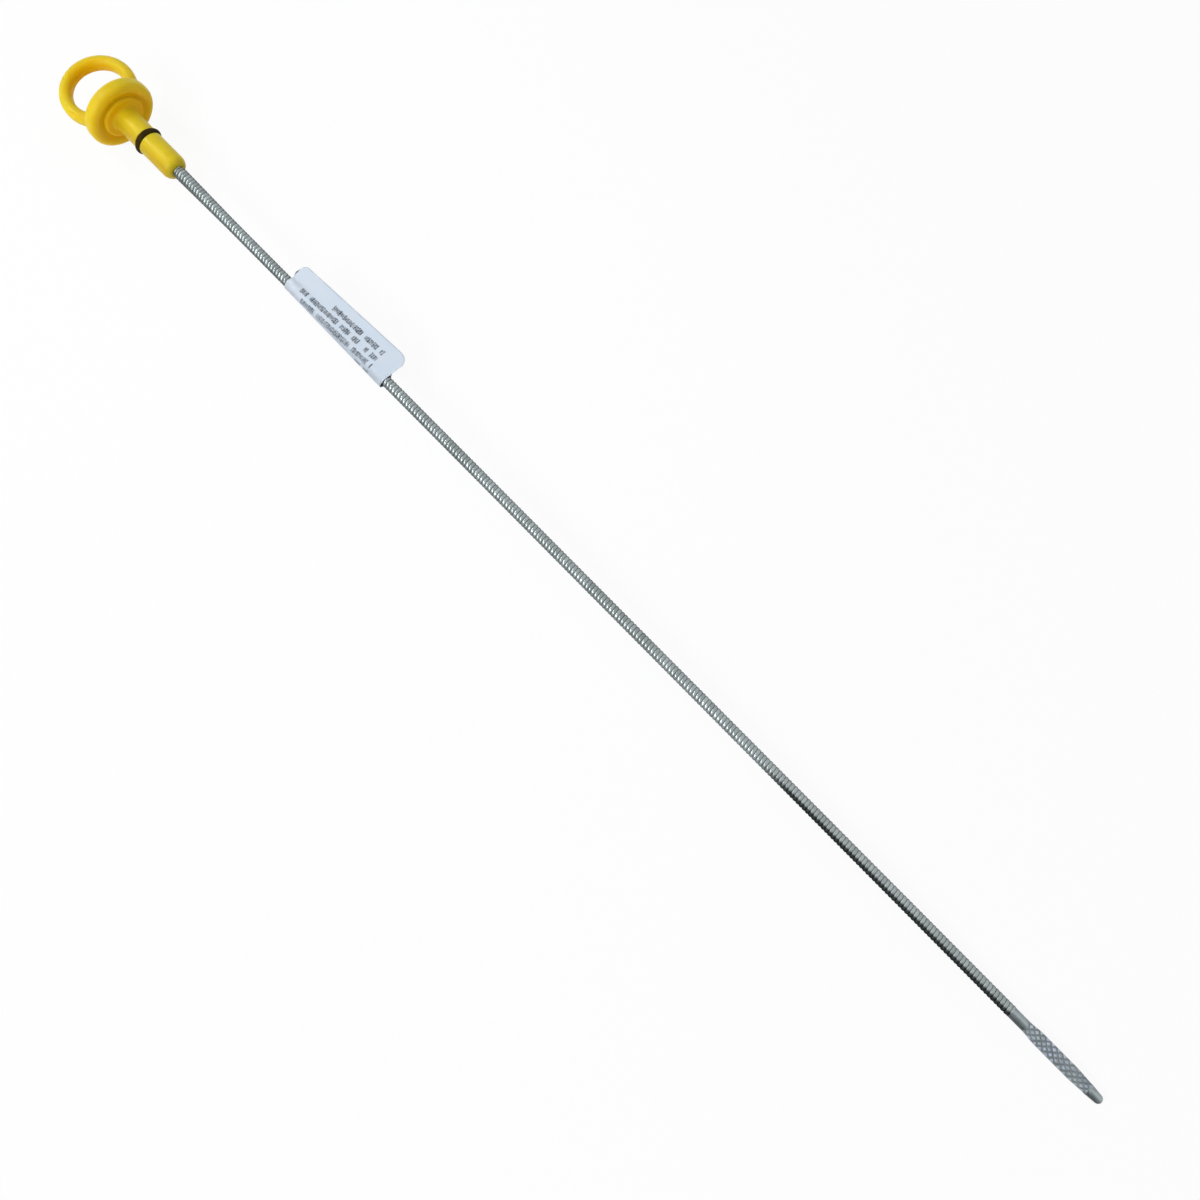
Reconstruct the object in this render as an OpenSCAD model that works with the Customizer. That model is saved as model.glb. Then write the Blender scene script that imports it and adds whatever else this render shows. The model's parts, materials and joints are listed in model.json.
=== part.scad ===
// Engine oil dipstick: a pull ring and disc moulded with a sealed plug, a wire-wound
// shaft round a straight core, a pressed and cross-hatched reading tip, and a paper flag.
// It lies as it comes to rest, on the rim of its disc and the end of its tip.

/* [Shaft] */
// Outer diameter of the wound shaft
shaft_d = 4.3; // [3.8:0.1:4.6]
// Width of the winding wire, whose turns lie side by side
wire_w = 1.5; // [1.2:0.1:1.8]
// Thickness of the winding wire, measured outwards from the core
wire_t = 1.1; // [0.8:0.05:1.15]
// Depth of the groove between two turns
turn_groove = 0.35; // [0.1:0.05:0.5]
// Share of the wire's width that is its flat crown
crown_share = 0.5; // [0.3:0.05:0.7]
// Length of the wound shaft in view, from the plug to the tip
shaft_l = 431.6; // [300:0.2:480]
// Length of the wound shaft held inside the plug
held_l = 22.5; // [15:0.5:27]

/* [Ring] */
// Diameter of the pull ring, measured on the centreline of its bar
ring_d = 25.8; // [22:0.2:30]
// Thickness of the ring's bar in the plane of the ring
bar_w = 4.9; // [4:0.1:6]
// Thickness of the ring's bar across the plane of the ring
bar_h = 6.1; // [6:0.1:8]
// Distance from the disc's top land to the centre of the ring
ring_rise = 9.6; // [8:0.1:11]

/* [Disc] */
// Outer diameter of the disc that caps the tube
disc_d = 28.6; // [25:0.2:32]
// Thickness of the disc at its rim
disc_t = 6.1; // [5:0.1:8]
// Radius of the disc's rounded rim
rim_r = 2.2; // [1:0.1:2.4]
// Rise of the disc's domed top above its land
dome_h = 0.8; // [0.2:0.1:2]
// Depth of the dished recess in the disc's underside
dish_h = 1.1; // [0.8:0.1:2]
// Width of the level land between the rim's rounding and the dish
dish_land_w = 0.2; // [0.1:0.1:0.8]
// Width of the level ring between the collar and the dish's curve
dish_level_w = 0.4; // [0.2:0.1:1]

/* [Plug] */
// Length from the collar's face to the plug's end
plug_l = 32.2; // [31:0.2:40]
// Diameter of the stem between the collar and the seal
stem_d = 10.1; // [9.6:0.1:11]
// Diameter of the plug past the seal
plug_d = 10.0; // [9.6:0.1:11]
// Diameter of the plug's end face
plug_end_d = 5.8; // [5.4:0.1:7]
// Length of the rounding at the plug's end
plug_round_l = 3.4; // [1:0.1:5]
// Diameter of the collar under the disc
collar_d = 17.2; // [15:0.1:19]
// Distance that the collar stands past the disc's rim
collar_rise = 0.6; // [0.2:0.1:1.5]
// Radius of the collar's rounded edge
collar_edge_r = 0.8; // [0.3:0.1:1.2]
// Radius of the fillet between the collar's face and the stem
stem_fillet_r = 1.0; // [0.3:0.1:1.5]

/* [Seal] */
// Thickness of the seal ring's round section
seal_t = 2.5; // [1.8:0.1:2.6]
// Distance that the seal stands out of the plug
seal_stand = 0.8; // [0.4:0.1:1]
// Distance from the plug's end to the middle of the seal
seal_place = 18; // [15:0.5:24]
// Gap at each side of the seal in its groove
seal_side_gap = 0.15; // [0.05:0.05:0.3]

/* [Tip] */
// Diameter of the tip where it leaves the winding
tip_d = 4.05; // [3.6:0.05:4.2]
// Length of the plain stretch before the cross-hatching
tip_plain_l = 6.6; // [6.2:0.2:12]
// Length of the cross-hatched stretch
hatch_l = 27.2; // [20:0.2:40]
// Width of the tip at its widest
tip_wide_w = 4.9; // [4.4:0.1:5.2]
// Length over which the tip widens
swell_l = 5.5; // [3:0.5:9]
// Length over which the tip narrows again
narrow_l = 7.5; // [4:0.5:11]
// Thickness between the pressed flats
flat_t = 2.5; // [2.2:0.1:2.7]
// Width of the tip at the end of the cross-hatching
tip_end_w = 4.15; // [3.6:0.05:4.3]
// Diameter of the rounded nose
nose_d = 3.35; // [2.8:0.05:3.5]
// Length of the plain nose after the cross-hatching
nose_l = 5.8; // [4:0.1:10]
// Step of the hatching along the tip
hatch_step = 2.55; // [2:0.05:3.2]
// Angle of the hatching to the tip's axis
hatch_angle = 40; // [30:1:50]
// Width of one groove of the hatching
hatch_w = 1.1; // [0.6:0.1:1.2]
// Depth of the hatching
hatch_h = 0.22; // [0.08:0.02:0.3]
// Depth of the socket that holds the core wire
socket_l = 5; // [3:0.5:6]

/* [Label] */
// Length of the paper flag along the shaft
label_l = 55; // [30:1:80]
// Distance from the plug's end to the flag
label_place = 65.8; // [20:0.2:120]
// Reach of the flag from the shaft's axis, at the handle's end
flag_near_h = 9.4; // [8:0.2:14]
// Reach of the flag from the shaft's axis, at the tip's end
flag_far_h = 11.8; // [8:0.2:16]
// Angle at which the flag rises from level
flag_angle = 8; // [-10:1:12]
// Radius of the flag's corner at the handle's end
corner_near_r = 2.6; // [1:0.2:3]
// Radius of the flag's corner at the tip's end
corner_far_r = 4.2; // [1:0.2:5]
// Distance from the shaft's axis to where the two layers of paper meet
meet_w = 4.6; // [4:0.2:6]
// Thickness of the paper
paper_t = 0.16; // [0.1:0.02:0.3]

/* [Clearances] */
// Gap round the shaft where the plug and the paper hold it, and under the seal
hold_gap = 0.02; // [0.01:0.01:0.05]
// Gap between the core wire and the winding round it
core_gap = 0.05; // [0.03:0.01:0.1]

/* [Hidden] */
round_fn = 72;
arc_steps = 5;
loop_steps = 24;
past = 1;

// Places along the shaft are measured from the plug's end, towards the tip
turns = round((shaft_l + held_l) / wire_w);
turn_step = (shaft_l + held_l) / turns;
crown_start = (1 - crown_share) / 2;
shaft_r = shaft_d / 2;
winding_bore_r = shaft_r - wire_t;
core_r = winding_bore_r - core_gap;
paper_loop_r = shaft_r + hold_gap;

collar_face = -plug_l;
disc_bottom = collar_face - collar_rise;
disc_top = disc_bottom - disc_t;
dish_floor = disc_bottom - dish_h;
disc_r = disc_d / 2;
rim_centre_r = disc_r - rim_r;
collar_r = collar_d / 2;
ring_place = disc_top - ring_rise;
ring_r = ring_d / 2;
bar_straight = bar_h - bar_w;

seal_centre_r = plug_d / 2 + seal_stand - seal_t / 2;
seal_groove_r = seal_centre_r - seal_t / 2 - hold_gap;
seal_groove_w = seal_t + 2 * seal_side_gap;

hatch_start = shaft_l + tip_plain_l;
hatch_end = hatch_start + hatch_l;
nose_end = hatch_end + nose_l;
nose_r = nose_d / 2;
nose_centre = nose_end - nose_r;
flat_r = flat_t / 2;
flat_end = nose_centre + sqrt(nose_r * nose_r - flat_r * flat_r);

// The floor touches the disc's rim at one end, and whichever of these stands lowest at the other
low_points = [[flat_end, flat_r], [hatch_start, tip_d / 2], [shaft_l, shaft_r]];
rest_angle = min([for (p = low_points) tangent_angle(p[0] - (disc_bottom - rim_r), rim_centre_r - p[1], rim_r)]);
rest_z = max([for (p = low_points) p[0] * sin(rest_angle) + p[1] * cos(rest_angle)]);
low_x = (ring_place - ring_r) * cos(rest_angle) - bar_w / 2 - bar_straight / 2 * sin(rest_angle);
high_x = nose_centre * cos(rest_angle) + nose_r;

// Angle of a line under a circle to a point that lies that far along and that much nearer the axis
function tangent_angle(along, nearer, radius) =
    atan2(nearer, along) + asin(radius / norm([along, nearer]));

// Points on an arc of a circle or an ellipse, from one angle to another
function arc(centre, radii, from, to, steps = arc_steps) =
    [for (i = [0 : steps]) let (t = from + (to - from) * i / steps)
        [centre[0] + radii[0] * cos(t), centre[1] + radii[1] * sin(t)]];

// Points on a smooth step that starts and ends level
function blend(from, to, steps = 2 * arc_steps) =
    [for (i = [0 : steps]) let (t = i / steps, k = t * t * (3 - 2 * t))
        [from[0] + (to[0] - from[0]) * t, from[1] + (to[1] - from[1]) * k]];

// Lays the part down, with the shaft's axis from the ring at -X to the tip at +X
module at_rest()
    translate([-(low_x + high_x) / 2, 0, rest_z])
        rotate([0, rest_angle, 0])
            children();

// Turns a profile of [place along the shaft, radius] points about the shaft's axis
module turned(profile)
    rotate([0, 90, 0])
        rotate_extrude($fn = round_fn)
            polygon([for (p = profile) [p[1], p[0]]]);

module pull_ring()
    translate([ring_place, 0, 0])
        rotate_extrude($fn = round_fn)
            translate([ring_r, 0]) {
                for (side = [-1, 1])
                    translate([0, side * bar_straight / 2])
                        circle(d = bar_w, $fn = round_fn);
                square([bar_w, bar_straight], center = true);
            }

module disc_and_plug()
    turned(concat(
        [for (i = [0 : arc_steps]) let (t = i / arc_steps)
            [disc_top - dome_h * (1 - t * t), rim_centre_r * t]],
        arc([disc_top + rim_r, rim_centre_r], [rim_r, rim_r], 180, 90),
        arc([disc_bottom - rim_r, rim_centre_r], [rim_r, rim_r], 90, 0),
        [for (p = blend([rim_centre_r - dish_land_w, disc_bottom], [collar_r + dish_level_w, dish_floor]))
            [p[1], p[0]]],
        [[dish_floor, collar_r]],
        arc([collar_face - collar_edge_r, collar_r - collar_edge_r],
            [collar_edge_r, collar_edge_r], 90, 0),
        arc([collar_face + stem_fillet_r, stem_d / 2 + stem_fillet_r],
            [stem_fillet_r, stem_fillet_r], 180, 270),
        [[-seal_place - seal_groove_w / 2, stem_d / 2],
         [-seal_place - seal_groove_w / 2, seal_groove_r],
         [-seal_place + seal_groove_w / 2, seal_groove_r],
         [-seal_place + seal_groove_w / 2, plug_d / 2]],
        arc([-plug_round_l, plug_end_d / 2], [plug_round_l, (plug_d - plug_end_d) / 2], 90, 0),
        [[0, shaft_r + hold_gap], [-held_l, shaft_r + hold_gap], [-held_l, 0]]
    ));

module handle()
    color([0.84, 0.69, 0.10])
        at_rest() {
            pull_ring();
            disc_and_plug();
        }

module o_ring()
    color([0.12, 0.11, 0.08])
        at_rest()
            translate([-seal_place, 0, 0])
                rotate([0, 90, 0])
                    rotate_extrude($fn = round_fn)
                        translate([seal_centre_r, 0])
                            circle(d = seal_t, $fn = round_fn);

// Each turn is drawn as a closed ring of the wire's flat-topped section
module winding()
    color([0.62, 0.64, 0.63])
        at_rest()
            turned(concat(
                [for (i = [0 : turns - 1], p = [[0, turn_groove], [crown_start, 0], [1 - crown_start, 0]])
                    [(i + p[0]) * turn_step - held_l, shaft_r - p[1]]],
                [[shaft_l, shaft_r - turn_groove],
                 [shaft_l, winding_bore_r],
                 [-held_l, winding_bore_r]]
            ));

module core_wire()
    color([0.45, 0.46, 0.46])
        at_rest()
            turned([[-held_l, 0], [-held_l, core_r], [shaft_l + socket_l, core_r], [shaft_l + socket_l, 0]]);

// The end piece as turned, before its sides are pressed flat
module tip_blank()
    turned(concat(
        [[shaft_l, core_r + hold_gap], [shaft_l, tip_d / 2]],
        blend([hatch_start, tip_d / 2], [hatch_start + swell_l, tip_wide_w / 2]),
        blend([hatch_end - narrow_l, tip_wide_w / 2], [hatch_end, tip_end_w / 2]),
        arc([nose_centre, 0], [nose_r, nose_r], 90, 0, 2 * arc_steps),
        [[shaft_l + socket_l, 0], [shaft_l + socket_l, core_r + hold_gap]]
    ));

// What the press takes off one side, with a ramp where the flat begins
module press_cut()
    rotate([90, 0, 0])
        linear_extrude(height = 2 * tip_wide_w, center = true)
            polygon([
                [hatch_start, flat_r + tip_wide_w], [hatch_start, tip_d / 2],
                [hatch_start + tip_d / 2 - flat_r, flat_r],
                [nose_end + past, flat_r], [nose_end + past, flat_r + tip_wide_w]
            ]);

// What one wide V-shaped groove takes off the flat
module hatch_groove(place, turn)
    translate([place, 0, flat_r])
        rotate([0, 0, turn])
            rotate([90, 0, 90])
                linear_extrude(height = 2 * tip_wide_w, center = true)
                    polygon([
                        [0, -hatch_h], [hatch_w / 2, 0], [hatch_w / 2, past],
                        [-hatch_w / 2, past], [-hatch_w / 2, 0]
                    ]);

module tip()
    color([0.50, 0.53, 0.55])
        at_rest()
            difference() {
                tip_blank();
                for (side = [0, 180])
                    rotate([side, 0, 0]) {
                        press_cut();
                        for (place = [hatch_start + hatch_step / 2 : hatch_step : hatch_end],
                             turn = [-hatch_angle, hatch_angle])
                            hatch_groove(place, turn);
                    }
            }

// The outline that the folded flag is cut to, seen flat, with two corners rounded
module flag_outline()
    let (slope = atan2(flag_far_h - flag_near_h, label_l),
         edge = function(x, r) flag_near_h + x * tan(slope) - r / cos(slope)) {
        polygon(concat(
            [[0, -shaft_d]],
            arc([corner_near_r, edge(corner_near_r, corner_near_r)],
                [corner_near_r, corner_near_r], 180, 90 + slope),
            arc([label_l - corner_far_r, edge(label_l - corner_far_r, corner_far_r)],
                [corner_far_r, corner_far_r], 90 + slope, 0),
            [[label_l, -shaft_d]]
        ));
    }

// The paper seen along the shaft: a loop round the shaft that closes into two layers
module paper_section() {
    lean = asin(paper_loop_r / meet_w);
    outer_r = paper_loop_r + paper_t;
    flag_start = outer_r / sin(lean) - paper_t / tan(lean);
    flag_reach = flag_near_h + flag_far_h;
    difference() {
        polygon(concat(
            arc([0, 0], [outer_r, outer_r], 90 - lean, 270 + lean, loop_steps),
            [[flag_start, -paper_t], [flag_reach, -paper_t], [flag_reach, paper_t], [flag_start, paper_t]]
        ));
        polygon(concat(
            arc([0, 0], [paper_loop_r, paper_loop_r], 90 - lean, 270 + lean, loop_steps),
            [[meet_w, 0]]
        ));
    }
}

module label()
    color([0.84, 0.87, 0.92])
        at_rest()
            translate([label_place, 0, 0])
                rotate([flag_angle, 0, 0])
                    intersection() {
                        rotate([90, 0, 90])
                            linear_extrude(height = label_l)
                                paper_section();
                        linear_extrude(height = 2 * shaft_d, center = true)
                            flag_outline();
                    }

handle();
o_ring();
winding();
core_wire();
tip();
label();
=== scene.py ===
"""Engine oil dipstick: its wound wire, its paper flag, the looks, the light and the camera, on the frame."""
import json
import math

import bpy
import numpy as np
from mathutils import Matrix, Vector


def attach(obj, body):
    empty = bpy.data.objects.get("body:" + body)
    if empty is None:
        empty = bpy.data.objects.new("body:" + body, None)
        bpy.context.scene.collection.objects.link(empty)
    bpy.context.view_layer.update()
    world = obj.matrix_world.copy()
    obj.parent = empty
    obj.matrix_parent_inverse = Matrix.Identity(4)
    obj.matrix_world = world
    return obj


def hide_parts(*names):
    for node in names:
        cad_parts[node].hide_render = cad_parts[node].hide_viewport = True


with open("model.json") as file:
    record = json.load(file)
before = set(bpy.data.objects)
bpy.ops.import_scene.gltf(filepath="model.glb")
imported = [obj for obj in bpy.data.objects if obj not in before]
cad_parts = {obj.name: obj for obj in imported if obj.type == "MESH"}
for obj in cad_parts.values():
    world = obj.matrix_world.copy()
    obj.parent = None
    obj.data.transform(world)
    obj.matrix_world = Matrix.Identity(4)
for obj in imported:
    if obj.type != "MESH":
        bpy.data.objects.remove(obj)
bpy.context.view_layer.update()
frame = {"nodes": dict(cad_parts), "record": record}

MM = 0.001

# Places and lengths along the shaft, measured from the plug's end towards the tip
PLUG_MOUNT_PLACE = -10.0 * MM
LABEL_START = 65.8 * MM
LABEL_LENGTH = 55 * MM
SHAFT_LENGTH = 431.6 * MM
SHAFT_HELD = 22.5 * MM

# The winding
SHAFT_RADIUS = 2.15 * MM
WIRE_WIDTH = 1.5 * MM
WIRE_THICKNESS = 1.1 * MM
GROOVE_DEPTH = 0.28 * MM
GROUND_END = 0.6 * MM
STEPS_A_TURN = 24

# Points of the wire's outline, as shares of its half width, and how sharply its crown falls into the groove
WIRE_OUTLINE = (-1.0, -0.84, -0.55, -0.2, 0.2, 0.55, 0.84, 1.0)
CROWN_POWER = 2.6

# The turns just past the plug stand wider than the rest: by what share, over what rise, and up to what place
OPENED_SHARE = 0.2
OPENED_RISE = 1.5 * MM
OPENED_END = 32 * MM

# Painted shade down the shaft's sides and underside: its start and full strength along it, and round it in
# degrees down from the shaft's top.
# The plain side is the one away from the paper flag.
FAR_SHADE_START = 306 * MM
FAR_SHADE_FULL = 332 * MM
FAR_SHADE_PLAIN_SIDE = (8, 28)
FAR_SHADE_FLAG_SIDE = (100, 130)
LOW_SHADE_BOTH_SIDES = (38, 58)
SHADE_BY_PLUG = (20, 38)
SHADE_BY_PLUG_FADES = (5 * MM, 50 * MM)
LOW_SHADE_MOST = 0.5
LOW_SHADE_FADE = 0.25

# The tip's cross-hatching, in millimetres
HATCH_START = 438.2
HATCH_END = 465.4
HATCH_STEP = 2.55
HATCH_ANGLE = math.radians(40)
HATCH_WIDTH = 1.1
HATCH_DRIFT = 3.2
HATCH_FADE = 0.4

# The paper flag: near is its end by the handle, and far its end towards the tip.
# A pair of numbers is where a rise starts and where it ends, out from the shaft's axis.
PAPER_THICKNESS = 0.14 * MM
PAPER_GAP = 0.02 * MM
PAPER_LOOP_RADIUS = SHAFT_RADIUS + 0.1 * MM
PAPER_MEET = 4.8 * MM
PAPER_LEAN_NEAR = math.tan(math.radians(6))
PAPER_LEAN_FAR = math.tan(math.radians(-4))
PAPER_PEEK = 0.8 * MM
PAPER_PEEK_STARTS = (1.5 * MM, 3.5 * MM)
PAPER_PEEK_ENDS = (4 * MM, 7.5 * MM)
PAPER_SLACK_NEAR = 0.15 * MM
PAPER_SLACK_MORE = 0.75 * MM
PAPER_CREASE = 0.75 * MM
PAPER_CREASE_STARTS = (0.5 * MM, 3.1 * MM)
PAPER_CREASE_LENGTH = 0.45
PAPER_WAVE = 0.12 * MM
PAPER_WAVE_STARTS = (3 * MM, 9 * MM)
PAPER_WAVE_RATE = 9
PAPER_WAVE_PHASE = 0.5
PAPER_RISE = 0.30 * MM
PAPER_RISE_STARTS = (4 * MM, 13 * MM)
FLAG_REACH_NEAR = 9.1 * MM
FLAG_REACH_FAR = 11.4 * MM
FLAG_CORNER_NEAR = 2.6 * MM
FLAG_CORNER_FAR = 4.2 * MM
FLAG_COLUMNS = 84
TOP_STEPS = 20
LOOP_STEPS = 28
RISING_STEPS = 5
BACK_STEPS = 10

# Print on the flag. Each row is its place across the paper from the shaft's top, its start and its end, in mm
PRINT_ROWS = [(5.6, 20.3, 47.3), (2.2, 6.2, 47.7), (-1.1, 9.0, 47.7), (-4.2, 37.0, 48.0)]
PRINT_SEEDS = [11.0, 40.0, 69.0, 98.0]
PRINT_HEIGHT = 2.4
PRINT_MIDDLE = 33.0
PRINT_SLOPE = 0.035
LETTER_STEP = 1.62
STROKE_STEP = 0.81
WORD_GAPS = 0.18
PRINT_EDGE = 0.1

# The photograph's view
PHOTO_SIDE = 1200
PHOTO_FOCAL = 1252.8
SENSOR = 36
VIEW_PLACE = 236.0 * MM
VIEW_DISTANCE = 447.4 * MM
VIEW_LEAN_ALONG = math.radians(9.21)
VIEW_LEAN_ACROSS = math.radians(9.57)
VIEW_ROLL = 0.0045
VIEW_SLIP = 2.3
CLIP_NEAR = 0.01
CLIP_FAR = 20

# The studio, in metres, each lamp's place and target being along, across and up from the plug's end
FLOOR_HALF = 12.0
FLOOR_SHADE = 0.86
FLOOR_GLOW_SHARE = 0.92
WORLD_STRENGTH = 0.6
KEY_PLACE = (-0.60, -0.18, 0.80)
KEY_TARGET = (-0.02, 0, 0)
KEY_SIZE = (0.35, 0.25)
KEY_POWER = 0.1
KEY_BEAM = math.radians(30)
STRIP_PLACE = (0.04, -0.90, 0.80)
STRIP_TARGET = (0.25, 0, 0)
STRIP_SIZE = (1.0, 0.08)
STRIP_POWER = 7.4

# The shaft's own axes in the row frame, taken from the plug's mount
plug_mount = next(mount for mount in frame["record"]["mounts"] if mount["name"] == "plug")
ALONG = Vector(plug_mount["axis"]).normalized()
ACROSS = Vector((0, 1, 0))
UPWARD = ALONG.cross(ACROSS).normalized()
PLUG_END = Vector(plug_mount["pos_m"]) - ALONG * PLUG_MOUNT_PLACE


def at(along, across, upward):
    """A point in the row frame from its place along the shaft and its two offsets from the axis."""
    return PLUG_END + ALONG * along + ACROSS * across + UPWARD * upward


def linear(red, green, blue):
    """A colour as the eye names it, 0 to 255, as the linear colour that a shader takes."""
    def one(value):
        share = value / 255
        return share / 12.92 if share <= 0.04045 else ((share + 0.055) / 1.055) ** 2.4
    return (one(red), one(green), one(blue), 1)


# Shader nodes

def new_material(name):
    material = bpy.data.materials.new(name)
    material.use_nodes = True
    tree = material.node_tree
    return material, tree, tree.nodes["Principled BSDF"]


def add(tree, kind, inputs=None, **settings):
    """A new node. inputs maps a socket's name or number to a value or to another node's output."""
    made = tree.nodes.new(kind)
    for key, value in settings.items():
        setattr(made, key, value)
    connect(tree, made, inputs or {})
    return made


def connect(tree, node, inputs):
    """Links each of the inputs that is another node's output, and sets each of the others."""
    for key, value in inputs.items():
        if isinstance(value, bpy.types.NodeSocket):
            tree.links.new(value, node.inputs[key])
        else:
            node.inputs[key].default_value = value


def position(tree):
    """The point being shaded, in its piece's own coordinates, which are the row's."""
    return add(tree, "ShaderNodeTexCoord").outputs["Object"]


def stick_place(tree):
    """Place along the shaft, across it and up from its axis, in millimetres, of the point being shaded."""
    inputs = {0: position(tree), 1: PLUG_END}
    offset = add(tree, "ShaderNodeVectorMath", inputs, operation="SUBTRACT").outputs[0]
    return [dot(tree, offset, axis / MM) for axis in (ALONG, ACROSS, UPWARD)]


def noise(tree, vector, scale, detail, roughness=0.5):
    inputs = {"Vector": vector, "Scale": scale, "Detail": detail, "Roughness": roughness}
    return add(tree, "ShaderNodeTexNoise", inputs).outputs["Fac"]


def random_step(tree, value, step, seed):
    """A number from 0 to 1 that is drawn anew for each step of value."""
    whole = calculate(tree, "FLOOR", calculate(tree, "MULTIPLY_ADD", value, 1 / step, seed))
    return add(tree, "ShaderNodeTexWhiteNoise", {"W": whole}, noise_dimensions="1D").outputs["Value"]


def calculate(tree, operation, first, second=0.0, third=0.0, clamp=False):
    inputs = {0: first, 1: second, 2: third}
    return add(tree, "ShaderNodeMath", inputs, operation=operation, use_clamp=clamp).outputs[0]


def product(tree, first, second):
    return calculate(tree, "MULTIPLY", first, second)


def difference(tree, first, second):
    return calculate(tree, "ABSOLUTE", calculate(tree, "SUBTRACT", first, second))


def dot(tree, vector, axis):
    inputs = {0: vector, 1: axis}
    return add(tree, "ShaderNodeVectorMath", inputs, operation="DOT_PRODUCT").outputs["Value"]


def spread(tree, value, low, high, to_low=0.0, to_high=1.0):
    """value's stretch from low to high, mapped to to_low to to_high and held at its ends."""
    inputs = {"Value": value, "From Min": low, "From Max": high, "To Min": to_low, "To Max": to_high}
    return add(tree, "ShaderNodeMapRange", inputs).outputs["Result"]


def mixed(tree, share, first, second):
    """A colour, first where share is 0 and second where it is 1."""
    made = add(tree, "ShaderNodeMix", data_type="RGBA")
    connect(tree, made, {0: share, 6: first, 7: second})
    return made.outputs[2]


def attribute(tree, name):
    return add(tree, "ShaderNodeAttribute", attribute_name=name).outputs["Fac"]


def bump(tree, height, strength, distance, normal=None):
    inputs = {"Height": height, "Strength": strength, "Distance": distance}
    if normal is not None:
        inputs["Normal"] = normal
    return add(tree, "ShaderNodeBump", inputs).outputs["Normal"]


# Materials

def yellow_plastic():
    """Moulded yellow, with painted shade: orange under the disc, and darker on the plug's nose and along the
    plain side.
    """
    material, tree, shader = new_material("yellow_plastic")
    place = position(tree)
    cloudy = noise(tree, place, 90, 3.0)
    flow = noise(tree, place, 420, 4.0, 0.6)
    grain = noise(tree, place, 2600, 2.0)
    body = mixed(tree, spread(tree, cloudy, 0.35, 0.65), linear(217, 194, 26), linear(211, 184, 18))
    body = mixed(tree, spread(tree, flow, 0.45, 0.75, 0.0, 0.25), body, linear(224, 203, 50))
    normal = add(tree, "ShaderNodeNewGeometry").outputs["Normal"]
    facing = dot(tree, normal, ALONG)
    sideways = dot(tree, normal, ACROSS)
    along, across, upward = stick_place(tree)
    out = calculate(tree, "MULTIPLY_ADD", across, across, product(tree, upward, upward))
    out = calculate(tree, "SQRT", out)
    # Painted shade: under the disc, faces that look towards the tip turn orange and reflect less
    painted_shade_under_disc = product(tree, spread(tree, facing, -0.2, 0.9), spread(tree, along, -20, -34))
    painted_shade_under_disc = product(tree, painted_shade_under_disc, spread(tree, out, 14.5, 10.0, 0.25, 1.0))
    body = mixed(tree, product(tree, painted_shade_under_disc, 0.85), body, linear(226, 168, 0))
    # Painted shade on the plug's nose, which faces the tip
    nose = product(tree, spread(tree, facing, 0.1, 0.9), spread(tree, along, -5.0, -2.5, 0.0, 0.5))
    body = mixed(tree, nose, body, linear(150, 136, 20))
    # Painted shade down the plain side of the stem and plug
    plain_side = product(tree, spread(tree, sideways, -0.3, -0.8, 0.0, 0.7), spread(tree, along, -33, -31))
    body = mixed(tree, plain_side, body, linear(176, 144, 14))
    gloss = spread(tree, flow, 0.3, 0.7, 0.30, 0.42)
    relief = bump(tree, flow, 0.12, 0.2 * MM)
    relief = bump(tree, grain, 0.10, 0.03 * MM, relief)
    connect(tree, shader, {
        "Base Color": body, "Roughness": gloss, "Normal": relief,
        "Specular IOR Level": spread(tree, painted_shade_under_disc, 0.0, 1.0, 0.2, 0.05), "IOR": 1.49,
        "Subsurface Weight": 0.45, "Subsurface Radius": (1.0, 0.40, 0.05), "Subsurface Scale": 2.5 * MM,
    })
    return material


def seal_rubber():
    """Black rubber with a brown haze of old oil."""
    material, tree, shader = new_material("seal_rubber")
    place = position(tree)
    haze = noise(tree, place, 700, 3.0)
    grain = noise(tree, place, 5200, 2.0)
    body = mixed(tree, spread(tree, haze, 0.35, 0.7), linear(42, 32, 4), linear(58, 46, 14))
    connect(tree, shader, {
        "Base Color": body, "Roughness": spread(tree, haze, 0.3, 0.7, 0.5, 0.65),
        "Specular IOR Level": 0.06, "Normal": bump(tree, grain, 0.2, 0.03 * MM),
    })
    return material


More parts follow.
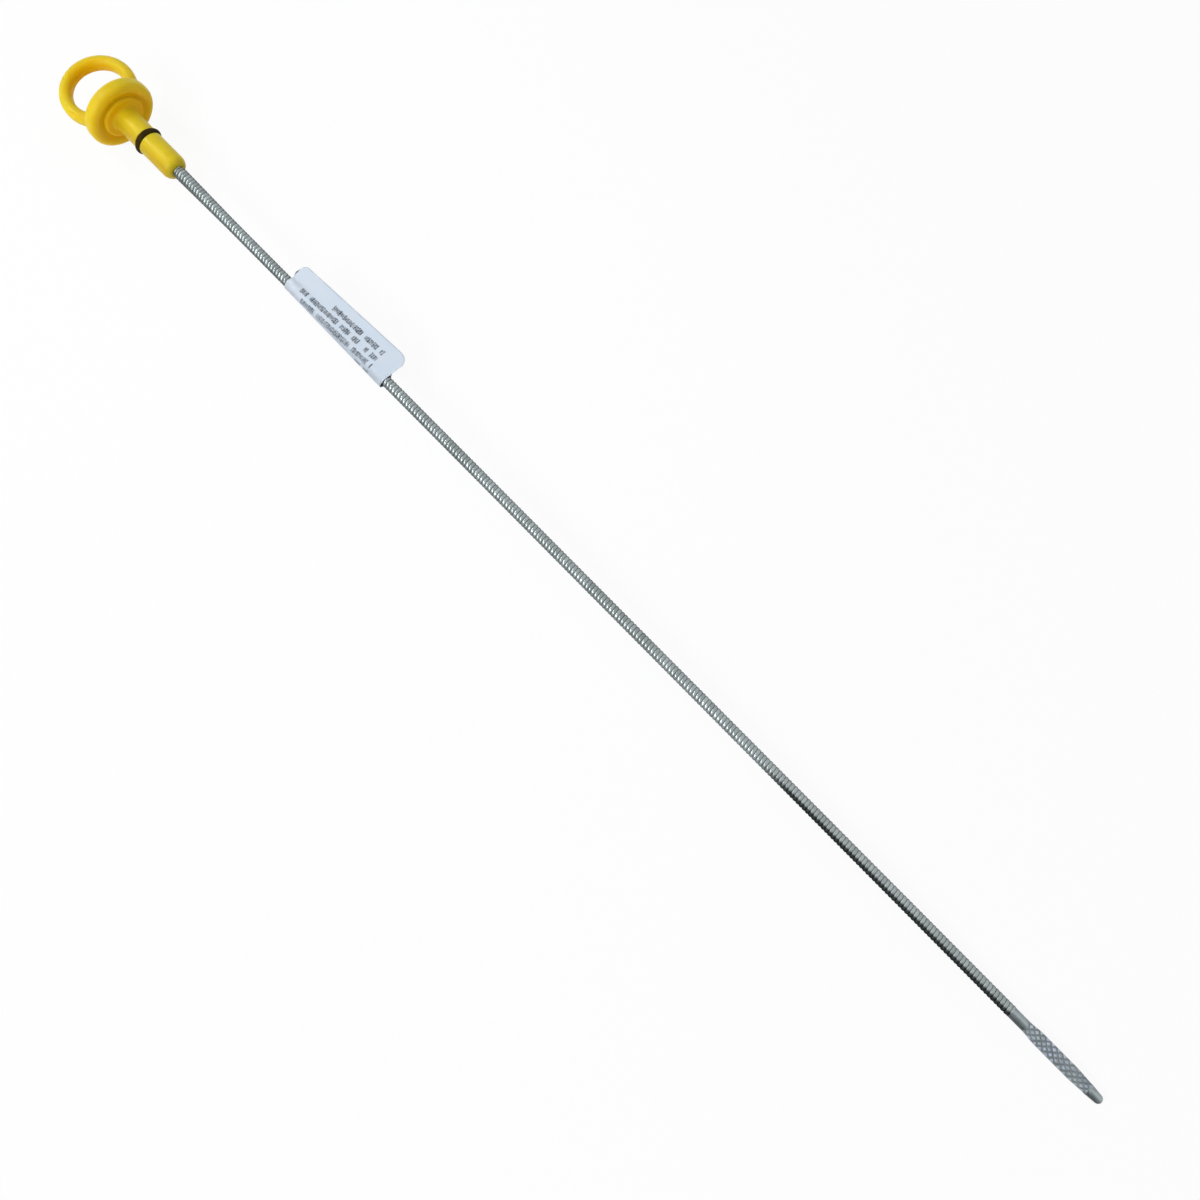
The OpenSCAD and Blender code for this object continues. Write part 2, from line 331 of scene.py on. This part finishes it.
def wire_steel():
    """Bright wire: painted shade and dullness in its grooves, painted shade down its sides and underside,
    with a tone for each turn or two.
    """
    material, tree, shader = new_material("wire_steel")
    place = position(tree)
    crown = attribute(tree, "crown")
    turn = attribute(tree, "turn")
    painted_shade = attribute(tree, "painted_shade")
    along = stick_place(tree)[0]
    dull = spread(tree, along, FAR_SHADE_START / MM, FAR_SHADE_FULL / MM)
    # Painted shade in the grooves between turns, stronger away from the plug
    painted_groove_shade = product(tree, spread(tree, crown, 0.3, 0.0), spread(tree, along, 10, 180, 0.35, 1.0))
    inputs = {"W": turn, "Scale": 0.9, "Detail": 2.0}
    tone = add(tree, "ShaderNodeTexNoise", inputs, noise_dimensions="1D").outputs["Fac"]
    patches = noise(tree, place, 60, 3.0)
    scratches = noise(tree, place, 3000, 3.0, 0.6)
    steel = mixed(tree, spread(tree, tone, 0.3, 0.7), linear(142, 150, 151), linear(168, 177, 178))
    steel = mixed(tree, spread(tree, patches, 0.45, 0.7, 0.0, 0.35), steel, linear(108, 116, 114))
    steel = mixed(tree, product(tree, dull, 0.25), steel, linear(176, 182, 182))
    steel = mixed(tree, painted_groove_shade, steel, linear(38, 44, 46))
    # Painted shade down the shaft's sides and underside, darkest on its far stretch
    steel = mixed(tree, product(tree, painted_shade, 0.93), steel, linear(22, 26, 27))
    rough = spread(tree, scratches, 0.3, 0.7, 0.20, 0.30)
    rough = calculate(tree, "ADD", rough, spread(tree, crown, 0.5, 0.0, 0.0, 0.25))
    rough = calculate(tree, "MULTIPLY_ADD", dull, 0.16, rough)
    rough = calculate(tree, "ADD", rough, spread(tree, along, 0, 140, 0.10, 0.0))
    connect(tree, shader, {
        "Base Color": steel, "Metallic": 1.0, "Roughness": rough,
        "Specular Tint": (0.35, 0.38, 0.4, 1),
        "Normal": bump(tree, scratches, 0.12, 0.02 * MM),
    })
    return material


def drawn_steel():
    """Plain wire with the fine streaks that drawing leaves along it."""
    material, tree, shader = new_material("drawn_steel")
    inputs = {"Vector": position(tree), "Scale": (40, 1500, 1500)}
    stretched = add(tree, "ShaderNodeMapping", inputs).outputs["Vector"]
    streaks = noise(tree, stretched, 1.0, 2.0)
    steel = mixed(tree, spread(tree, streaks, 0.3, 0.7), linear(120, 126, 124), linear(160, 166, 164))
    connect(tree, shader, {
        "Base Color": steel, "Metallic": 1.0, "Roughness": spread(tree, streaks, 0.3, 0.7, 0.3, 0.42),
        "Normal": bump(tree, streaks, 0.1, 0.02 * MM),
    })
    return material


def hatch_cut(tree, across, along, side):
    """Where the grooves of one direction, side, run over the flat: 1 in a groove's middle and 0 beside it."""
    slanted = calculate(tree, "MULTIPLY_ADD", across, side / math.tan(HATCH_ANGLE), along)
    steps = calculate(tree, "MULTIPLY_ADD", slanted, 1 / HATCH_STEP, -HATCH_START / HATCH_STEP)
    off = difference(tree, calculate(tree, "FRACT", steps), 0.5)
    reach = HATCH_WIDTH / 2 / math.sin(HATCH_ANGLE) / HATCH_STEP
    return spread(tree, off, reach, 0.05)


def tip_steel():
    """Grey steel: bright on the hatching's diamonds, with painted shade in its grooves; on the plain parts, a
    painted highlight along the middle and painted shade down one side.
    """
    material, tree, shader = new_material("tip_steel")
    place = position(tree)
    along, across, _ = stick_place(tree)
    patches = noise(tree, place, 260, 3.0)
    scratches = noise(tree, place, 2600, 3.0, 0.6)
    steel = mixed(tree, spread(tree, patches, 0.35, 0.65), linear(122, 132, 134), linear(146, 154, 158))
    steel = mixed(tree, spread(tree, scratches, 0.55, 0.8, 0.0, 0.4), steel, linear(186, 194, 200))
    drift = calculate(tree, "MULTIPLY_ADD", noise(tree, place, 160, 2.0), HATCH_DRIFT, -HATCH_DRIFT / 2)
    drifted = calculate(tree, "ADD", along, drift)
    groove = calculate(tree, "MAXIMUM", *(hatch_cut(tree, across, drifted, side) for side in (-1, 1)))
    start = spread(tree, along, HATCH_START - HATCH_FADE, HATCH_START + HATCH_FADE)
    hatched = product(tree, start, spread(tree, along, HATCH_END + HATCH_FADE, HATCH_END - HATCH_FADE))
    tone = noise(tree, place, 120, 2.0)
    worn = spread(tree, noise(tree, place, 420, 2.0), 0.38, 0.62, 0.1, 1.0)
    tinted = mixed(tree, spread(tree, tone, 0.4, 0.6), linear(172, 180, 202), linear(168, 184, 180))
    diamonds = product(tree, hatched, spread(tree, groove, 0.6, 0.0))
    steel = mixed(tree, product(tree, diamonds, worn), steel, tinted)
    # Painted shade in the hatching's grooves
    grooves = product(tree, hatched, spread(tree, groove, 0.15, 1.0, 0.0, 0.5))
    steel = mixed(tree, grooves, steel, linear(74, 82, 92))
    plain = calculate(tree, "SUBTRACT", 1.0, hatched)
    # Painted highlight along the middle of the plain parts
    band = spread(tree, difference(tree, across, 0.35), 0.9, 0.1, 0.0, 0.5)
    steel = mixed(tree, product(tree, plain, band), steel, linear(178, 192, 190))
    # Painted shade down one side of the plain parts
    painted_side_shade = product(tree, plain, spread(tree, across, 0.1, -1.3))
    steel = mixed(tree, product(tree, painted_side_shade, 0.8), steel, linear(40, 46, 48))
    connect(tree, shader, {
        "Base Color": steel, "Metallic": 0.75, "Roughness": spread(tree, scratches, 0.3, 0.7, 0.32, 0.46),
        "Normal": bump(tree, scratches, 0.2, 0.04 * MM),
    })
    return material


def row_of_print(tree, along, across, place, start, end, seed):
    """Where a row of print stands: short upright strokes in words, with no letters in them."""
    middle = calculate(tree, "MULTIPLY_ADD", along, PRINT_SLOPE, place - PRINT_MIDDLE * PRINT_SLOPE)
    off = difference(tree, across, middle)
    word = calculate(tree, "GREATER_THAN", random_step(tree, along, LETTER_STEP, seed), WORD_GAPS)
    stroke = random_step(tree, along, STROKE_STEP, seed * 3.0)
    phase = calculate(tree, "FRACT", calculate(tree, "DIVIDE", along, STROKE_STEP))
    upright = spread(tree, difference(tree, phase, 0.5), 0.42, 0.30)
    spot = add(tree, "ShaderNodeCombineXYZ", {0: along, 1: across, 2: seed}).outputs[0]
    blot = spread(tree, noise(tree, spot, 1.25, 1.0), 0.42, 0.54)
    upright = product(tree, upright, spread(tree, blot, 0.0, 1.0, 0.6, 1.0))
    upright = calculate(tree, "MAXIMUM", upright, spread(tree, blot, 0.0, 1.0, 0.28, 0.66))
    height = product(tree, spread(tree, stroke, 0.0, 1.0, 0.36, 0.54), PRINT_HEIGHT)
    inside = spread(tree, calculate(tree, "SUBTRACT", height, off), 0.0, 0.15)
    inside = product(tree, inside, spread(tree, along, start, start + PRINT_EDGE))
    inside = product(tree, inside, spread(tree, along, end, end - PRINT_EDGE))
    ink = product(tree, upright, spread(tree, stroke, 0.0, 1.0, 0.8, 1.0))
    return product(tree, product(tree, ink, word), inside)


def flag_paper():
    """White paper with rows of print, painted shade grey from the shaft's top round the fold, and a painted
    shadow on the lower layer by the near end.
    """
    material, tree, shader = new_material("flag_paper")
    place = position(tree)
    along = attribute(tree, "paper_along")
    across = attribute(tree, "paper_across")
    cloudy = noise(tree, place, 120, 3.0)
    fibre = noise(tree, place, 3200, 4.0, 0.65)
    paper = mixed(tree, spread(tree, cloudy, 0.35, 0.65), linear(207, 220, 233), linear(212, 221, 232))
    rows = [row_of_print(tree, along, across, *row, seed) for row, seed in zip(PRINT_ROWS, PRINT_SEEDS)]
    ink = rows[0]
    for row in rows[1:]:
        ink = calculate(tree, "MAXIMUM", ink, row)
    worn = spread(tree, noise(tree, place, 900, 3.0), 0.3, 0.6, 0.75, 1.0)
    paper = mixed(tree, product(tree, ink, worn), paper, linear(14, 20, 38))
    # Painted shade from the shaft's top round the fold and under
    painted_fold_shade = spread(tree, across, -0.3, -2.4, 0.08, 0.55)
    paper = mixed(tree, painted_fold_shade, paper, linear(130, 138, 146))
    # Painted shadow on the lower layer by the near end, where it peeks out under the upper one
    painted_tuck_shadow = product(tree, spread(tree, across, -11.0, -13.0), spread(tree, along, 2.0, 1.0, 0.0, 0.8))
    paper = mixed(tree, painted_tuck_shadow, paper, linear(84, 92, 100))
    connect(tree, shader, {
        "Base Color": paper, "Roughness": spread(tree, fibre, 0.3, 0.7, 0.62, 0.8),
        "Specular IOR Level": 0.15, "Normal": bump(tree, fibre, 0.15, 0.03 * MM),
    })
    return material


# Meshes

def new_piece(name, points, faces, material, slot_name, *nodes):
    """A smooth piece in the row frame that rides on the root and stands for those CAD nodes."""
    mesh = bpy.data.meshes.new(name)
    mesh.from_pydata([tuple(p) for p in points], [], faces)
    mesh.validate()
    mesh.shade_smooth()
    piece = bpy.data.objects.new(name, mesh)
    bpy.context.scene.collection.objects.link(piece)
    mesh.materials.append(material)
    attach(piece, "root")
    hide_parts(*nodes)
    return piece


def set_values(piece, name, values):
    """One number for each point, which the piece's material reads by that name."""
    made = piece.data.attributes.new(name, "FLOAT", "POINT")
    made.data.foreach_set("value", np.asarray(values, np.float32))


def grid_faces(rows, columns, closed):
    """Quads of a grid of points, row after row. A closed grid joins each row's end to its start."""
    width = columns if closed else columns - 1
    faces = []
    for i in range(rows - 1):
        for j in range(width):
            k = (j + 1) % columns
            here, ahead = i * columns, (i + 1) * columns
            faces.append((here + j, here + k, ahead + k, ahead + j))
    return faces


def level_share(value, start, end):
    """0 before start, 1 after end, and a smooth rise between."""
    share = min(max((value - start) / (end - start), 0), 1)
    return share * share * (3 - 2 * share)


def wire_section():
    """The wire's section: offset along the shaft, radius, and crown, which is 1 on top and 0 in a groove."""
    half = WIRE_WIDTH / 2
    outline = []
    for share in WIRE_OUTLINE:
        drop = abs(share) ** CROWN_POWER
        outline.append((share * half, SHAFT_RADIUS - GROOVE_DEPTH * drop, 1 - drop))
    inner = SHAFT_RADIUS - WIRE_THICKNESS
    return outline + [(half, inner, 0.0), (-half, inner, 0.0)]


def opened(along):
    """What a turn's radius is multiplied by: 1, but more for the first stretch past the plug."""
    if along <= 0:
        return 1
    return 1 + OPENED_SHARE * level_share(along, 0, OPENED_RISE) * (1 - min(along / OPENED_END, 1))


def painted_shade_share(along, angle):
    """How much painted shade the wire gets at a place along the shaft and an angle round it, from 0 to 1."""
    down = math.degrees(math.acos(math.sin(angle)))
    plain_side = math.cos(angle) < 0
    # Painted shade: over the far stretch on most of the plain side and under the flag side, and low on both
    # sides all along
    painted_shade = level_share(down, *(FAR_SHADE_PLAIN_SIDE if plain_side else FAR_SHADE_FLAG_SIDE))
    painted_shade *= level_share(along, FAR_SHADE_START, FAR_SHADE_FULL)
    low_shade = LOW_SHADE_MOST - LOW_SHADE_FADE * level_share(along, 0, FAR_SHADE_START)
    low_shade *= level_share(down, *LOW_SHADE_BOTH_SIDES)
    if plain_side:
        by_plug = LOW_SHADE_MOST * level_share(down, *SHADE_BY_PLUG)
        low_shade = max(low_shade, by_plug * (1 - level_share(along, *SHADE_BY_PLUG_FADES)))
    return max(painted_shade, low_shade)


def winding(material):
    """One wire, wound close and right-handed, with its two ends ground level."""
    section = wire_section()
    start = -SHAFT_HELD - WIRE_WIDTH / 2 + GROUND_END / 4
    travel = SHAFT_HELD + SHAFT_LENGTH + WIRE_WIDTH - GROUND_END / 2
    steps = round(travel / WIRE_WIDTH * STEPS_A_TURN)
    points, crowns, turns, painted_shades = [], [], [], []
    for i in range(steps + 1):
        turn = i / STEPS_A_TURN
        angle = math.tau * turn
        for offset, radius, crown in section:
            along = start + travel * i / steps + offset
            along = min(max(along, -SHAFT_HELD), SHAFT_LENGTH)
            radius *= opened(along)
            points.append(at(along, radius * math.cos(angle), radius * math.sin(angle)))
            crowns.append(crown)
            turns.append(turn)
            painted_shades.append(painted_shade_share(along, angle))
    width = len(section)
    faces = grid_faces(steps + 1, width, True)
    faces.append(tuple(range(width)))
    faces.append(tuple(steps * width + j for j in reversed(range(width))))
    piece = new_piece("wound_wire", points, faces, material, "winding", "winding")
    set_values(piece, "crown", crowns)
    set_values(piece, "turn", turns)
    set_values(piece, "painted_shade", painted_shades)


def rounded_off(past, radius):
    """How far a corner of that radius draws the edge in, at that distance past the corner's start."""
    return radius - math.sqrt(max(radius ** 2 - past ** 2, 0)) if past > 0 else 0


def flag_reach(along):
    """Distance from the shaft's axis to the flag's free edge, at a place along the flag."""
    slope = (FLAG_REACH_FAR - FLAG_REACH_NEAR) / LABEL_LENGTH
    reach = FLAG_REACH_NEAR + slope * along
    reach -= rounded_off(FLAG_CORNER_NEAR - along, FLAG_CORNER_NEAR)
    reach -= rounded_off(along - (LABEL_LENGTH - FLAG_CORNER_FAR), FLAG_CORNER_FAR)
    return reach


def paper_section(share, reach):
    """The paper's cross-section at that share of the flag's length, as (across, upward) points.

    It starts at the free edge of the upper layer, crosses the shaft's top, goes round the shaft, looser
    towards the tip, and comes back under the upper layer.
    """
    slack = PAPER_SLACK_NEAR + PAPER_SLACK_MORE * share
    crease = PAPER_CREASE * (1 - level_share(share, 0.0, PAPER_CREASE_LENGTH))
    wave = PAPER_WAVE * math.sin(share * PAPER_WAVE_RATE + PAPER_WAVE_PHASE)

    def upper(y):
        height = PAPER_LOOP_RADIUS - crease * level_share(y, *PAPER_CREASE_STARTS)
        height += wave * level_share(y, *PAPER_WAVE_STARTS)
        return height + PAPER_RISE * level_share(y, *PAPER_RISE_STARTS)

    def lower(y):
        return upper(y) - PAPER_THICKNESS - PAPER_GAP

    top = []
    for j in range(TOP_STEPS):
        y = reach * (1 - j / TOP_STEPS)
        top.append((y, upper(y)))
    meet = (PAPER_MEET, lower(PAPER_MEET))
    touch = math.atan2(meet[1], meet[0]) - math.acos(PAPER_LOOP_RADIUS / math.hypot(*meet))
    loop = []
    for j in range(LOOP_STEPS + 1):
        angle = math.pi / 2 + (1.5 * math.pi + touch) * j / LOOP_STEPS
        y = PAPER_LOOP_RADIUS * math.cos(angle)
        if y < 0:
            y *= 1 + slack / PAPER_LOOP_RADIUS
        loop.append((y, PAPER_LOOP_RADIUS * math.sin(angle)))
    back = []
    for j in range(1, RISING_STEPS):
        back.append(tuple(a + (b - a) * j / RISING_STEPS for a, b in zip(loop[-1], meet)))
    for j in range(BACK_STEPS + 1):
        y = PAPER_MEET + (reach - PAPER_MEET) * j / BACK_STEPS
        back.append((y, lower(y)))
    return top, loop, back


def paper_flag(material):
    """One strip of paper, folded round the shaft slightly askew."""
    points, alongs, acrosses = [], [], []
    for i in range(FLAG_COLUMNS + 1):
        share = 0.5 - 0.5 * math.cos(math.pi * i / FLAG_COLUMNS)
        along = LABEL_LENGTH * share
        reach = flag_reach(along)
        top, loop, back = paper_section(share, reach)
        row = top + loop + back
        lengths = [0.0]
        for a, b in zip(row, row[1:]):
            lengths.append(lengths[-1] + math.dist(a, b))
        for (y, z), length in zip(row, lengths):
            across = lengths[len(top)] - length
            slip = -max(y, 0) * (PAPER_LEAN_NEAR + (PAPER_LEAN_FAR - PAPER_LEAN_NEAR) * share)
            if across < 0:
                peek = level_share(y, *PAPER_PEEK_STARTS) * (1 - level_share(y, *PAPER_PEEK_ENDS))
                slip -= PAPER_PEEK * peek
            points.append(at(LABEL_START + along + slip, y, z))
            alongs.append(along / MM)
            acrosses.append(across / MM)
    faces = grid_faces(FLAG_COLUMNS + 1, len(row), False)
    piece = new_piece("paper_flag", points, faces, material, "label", "label")
    set_values(piece, "paper_along", alongs)
    set_values(piece, "paper_across", acrosses)
    shell = piece.modifiers.new("thickness", "SOLIDIFY")
    shell.thickness = PAPER_THICKNESS
    shell.offset = 0


def dress_node(name, material):
    """A CAD node keeps its shape and gets a material of its own."""
    node = frame["nodes"][name]
    node.data.materials.clear()
    node.data.materials.append(material)


# Studio

def white_to_the_eye(tree, plain, white):
    """plain for light that falls on things, and white for the camera, for mirrors and for glass."""
    path = add(tree, "ShaderNodeLightPath")
    glossy, through = path.outputs["Is Glossy Ray"], path.outputs["Is Transmission Ray"]
    mirrored = calculate(tree, "ADD", glossy, through, clamp=True)
    seen = calculate(tree, "MAXIMUM", path.outputs["Is Camera Ray"], mirrored)
    return add(tree, "ShaderNodeMixShader", {0: seen, 1: plain, 2: white}).outputs[0]


def studio_world():
    """A soft, even light from all round, and plain white behind the part."""
    world = bpy.data.worlds.new("studio")
    bpy.context.scene.world = world
    world.use_nodes = True
    tree = world.node_tree
    tree.nodes.clear()
    plain = add(tree, "ShaderNodeBackground", {"Color": (0.97, 0.98, 1.0, 1), "Strength": WORLD_STRENGTH})
    white = add(tree, "ShaderNodeBackground", {"Color": (1, 1, 1, 1), "Strength": 1.0})
    surface = white_to_the_eye(tree, plain.outputs[0], white.outputs[0])
    add(tree, "ShaderNodeOutputWorld", {"Surface": surface})


def studio_floor():
    """A pale floor under the part, nearly white to the camera, with a faint shadow on it."""
    mesh = bpy.data.meshes.new("floor")
    corners = [(x * FLOOR_HALF, y * FLOOR_HALF, 0) for x, y in ((-1, -1), (1, -1), (1, 1), (-1, 1))]
    mesh.from_pydata(corners, [], [(0, 1, 2, 3)])
    floor = bpy.data.objects.new("floor", mesh)
    bpy.context.scene.collection.objects.link(floor)
    material = bpy.data.materials.new("floor_white")
    material.use_nodes = True
    tree = material.node_tree
    tree.nodes.clear()
    shade = (FLOOR_SHADE, FLOOR_SHADE, FLOOR_SHADE, 1)
    plain = add(tree, "ShaderNodeBsdfDiffuse", {"Color": shade}).outputs[0]
    glow = add(tree, "ShaderNodeEmission", {"Color": (1, 1, 1, 1), "Strength": 1.0}).outputs[0]
    white = add(tree, "ShaderNodeMixShader", {0: FLOOR_GLOW_SHARE, 1: plain, 2: glow}).outputs[0]
    add(tree, "ShaderNodeOutputMaterial", {"Surface": white_to_the_eye(tree, plain, white)})
    mesh.materials.append(material)


def area_lamp(name, place, target, lengthwise, size, power, beam=math.pi):
    """A rectangular lamp at place that faces target, its length as near as can be to that direction."""
    lamp = bpy.data.lights.new(name, "AREA")
    lamp.shape = "RECTANGLE"
    lamp.size, lamp.size_y = size
    lamp.energy = power
    lamp.spread = beam
    holder = bpy.data.objects.new(name, lamp)
    away = (place - target).normalized()
    side = (lengthwise - away * lengthwise.dot(away)).normalized()
    turn = Matrix((side, away.cross(side), away)).transposed()
    holder.matrix_world = Matrix.Translation(place) @ turn.to_4x4()
    bpy.context.scene.collection.objects.link(holder)


def studio_lamps():
    """A key with a narrow beam on the handle, and a strip, askew of the shaft, for its row of highlights."""
    area_lamp("key", at(*KEY_PLACE), at(*KEY_TARGET), ALONG, KEY_SIZE, KEY_POWER, KEY_BEAM)
    area_lamp("strip", at(*STRIP_PLACE), at(*STRIP_TARGET), ACROSS - ALONG, STRIP_SIZE, STRIP_POWER)


def photo_camera():
    """The camera at the photograph's place, with the picture's diagonal along the shaft."""
    across = ACROSS * math.cos(VIEW_LEAN_ACROSS) + UPWARD * math.sin(VIEW_LEAN_ACROSS)
    facing = UPWARD * math.cos(VIEW_LEAN_ACROSS) - ACROSS * math.sin(VIEW_LEAN_ACROSS)
    along = ALONG * math.cos(VIEW_LEAN_ALONG) - facing * math.sin(VIEW_LEAN_ALONG)
    back = ALONG * math.sin(VIEW_LEAN_ALONG) + facing * math.cos(VIEW_LEAN_ALONG)
    rolled_along = (along + across * VIEW_ROLL).normalized()
    rolled_across = (across - along * VIEW_ROLL).normalized()
    along, across = rolled_along, rolled_across
    right = (along + across).normalized()
    up = (across - along).normalized()
    place = at(VIEW_PLACE, 0, 0) + back * VIEW_DISTANCE
    place -= across * (VIEW_SLIP * VIEW_DISTANCE / PHOTO_FOCAL)
    camera = bpy.data.cameras.new("photo_camera")
    camera.sensor_width = SENSOR
    camera.lens = SENSOR * PHOTO_FOCAL / PHOTO_SIDE
    camera.clip_start = CLIP_NEAR
    camera.clip_end = CLIP_FAR
    holder = bpy.data.objects.new("photo_camera", camera)
    turn = Matrix((right, up, back)).transposed()
    holder.matrix_world = Matrix.Translation(place) @ turn.to_4x4()
    bpy.context.scene.collection.objects.link(holder)
    bpy.context.scene.camera = holder


photo_camera()
studio_world()
studio_floor()
studio_lamps()

dress_node("handle", yellow_plastic())
dress_node("o_ring", seal_rubber())
dress_node("core_wire", drawn_steel())
dress_node("tip", tip_steel())
winding(wire_steel())
paper_flag(flag_paper())

bpy.context.scene.view_settings.view_transform = "Standard"
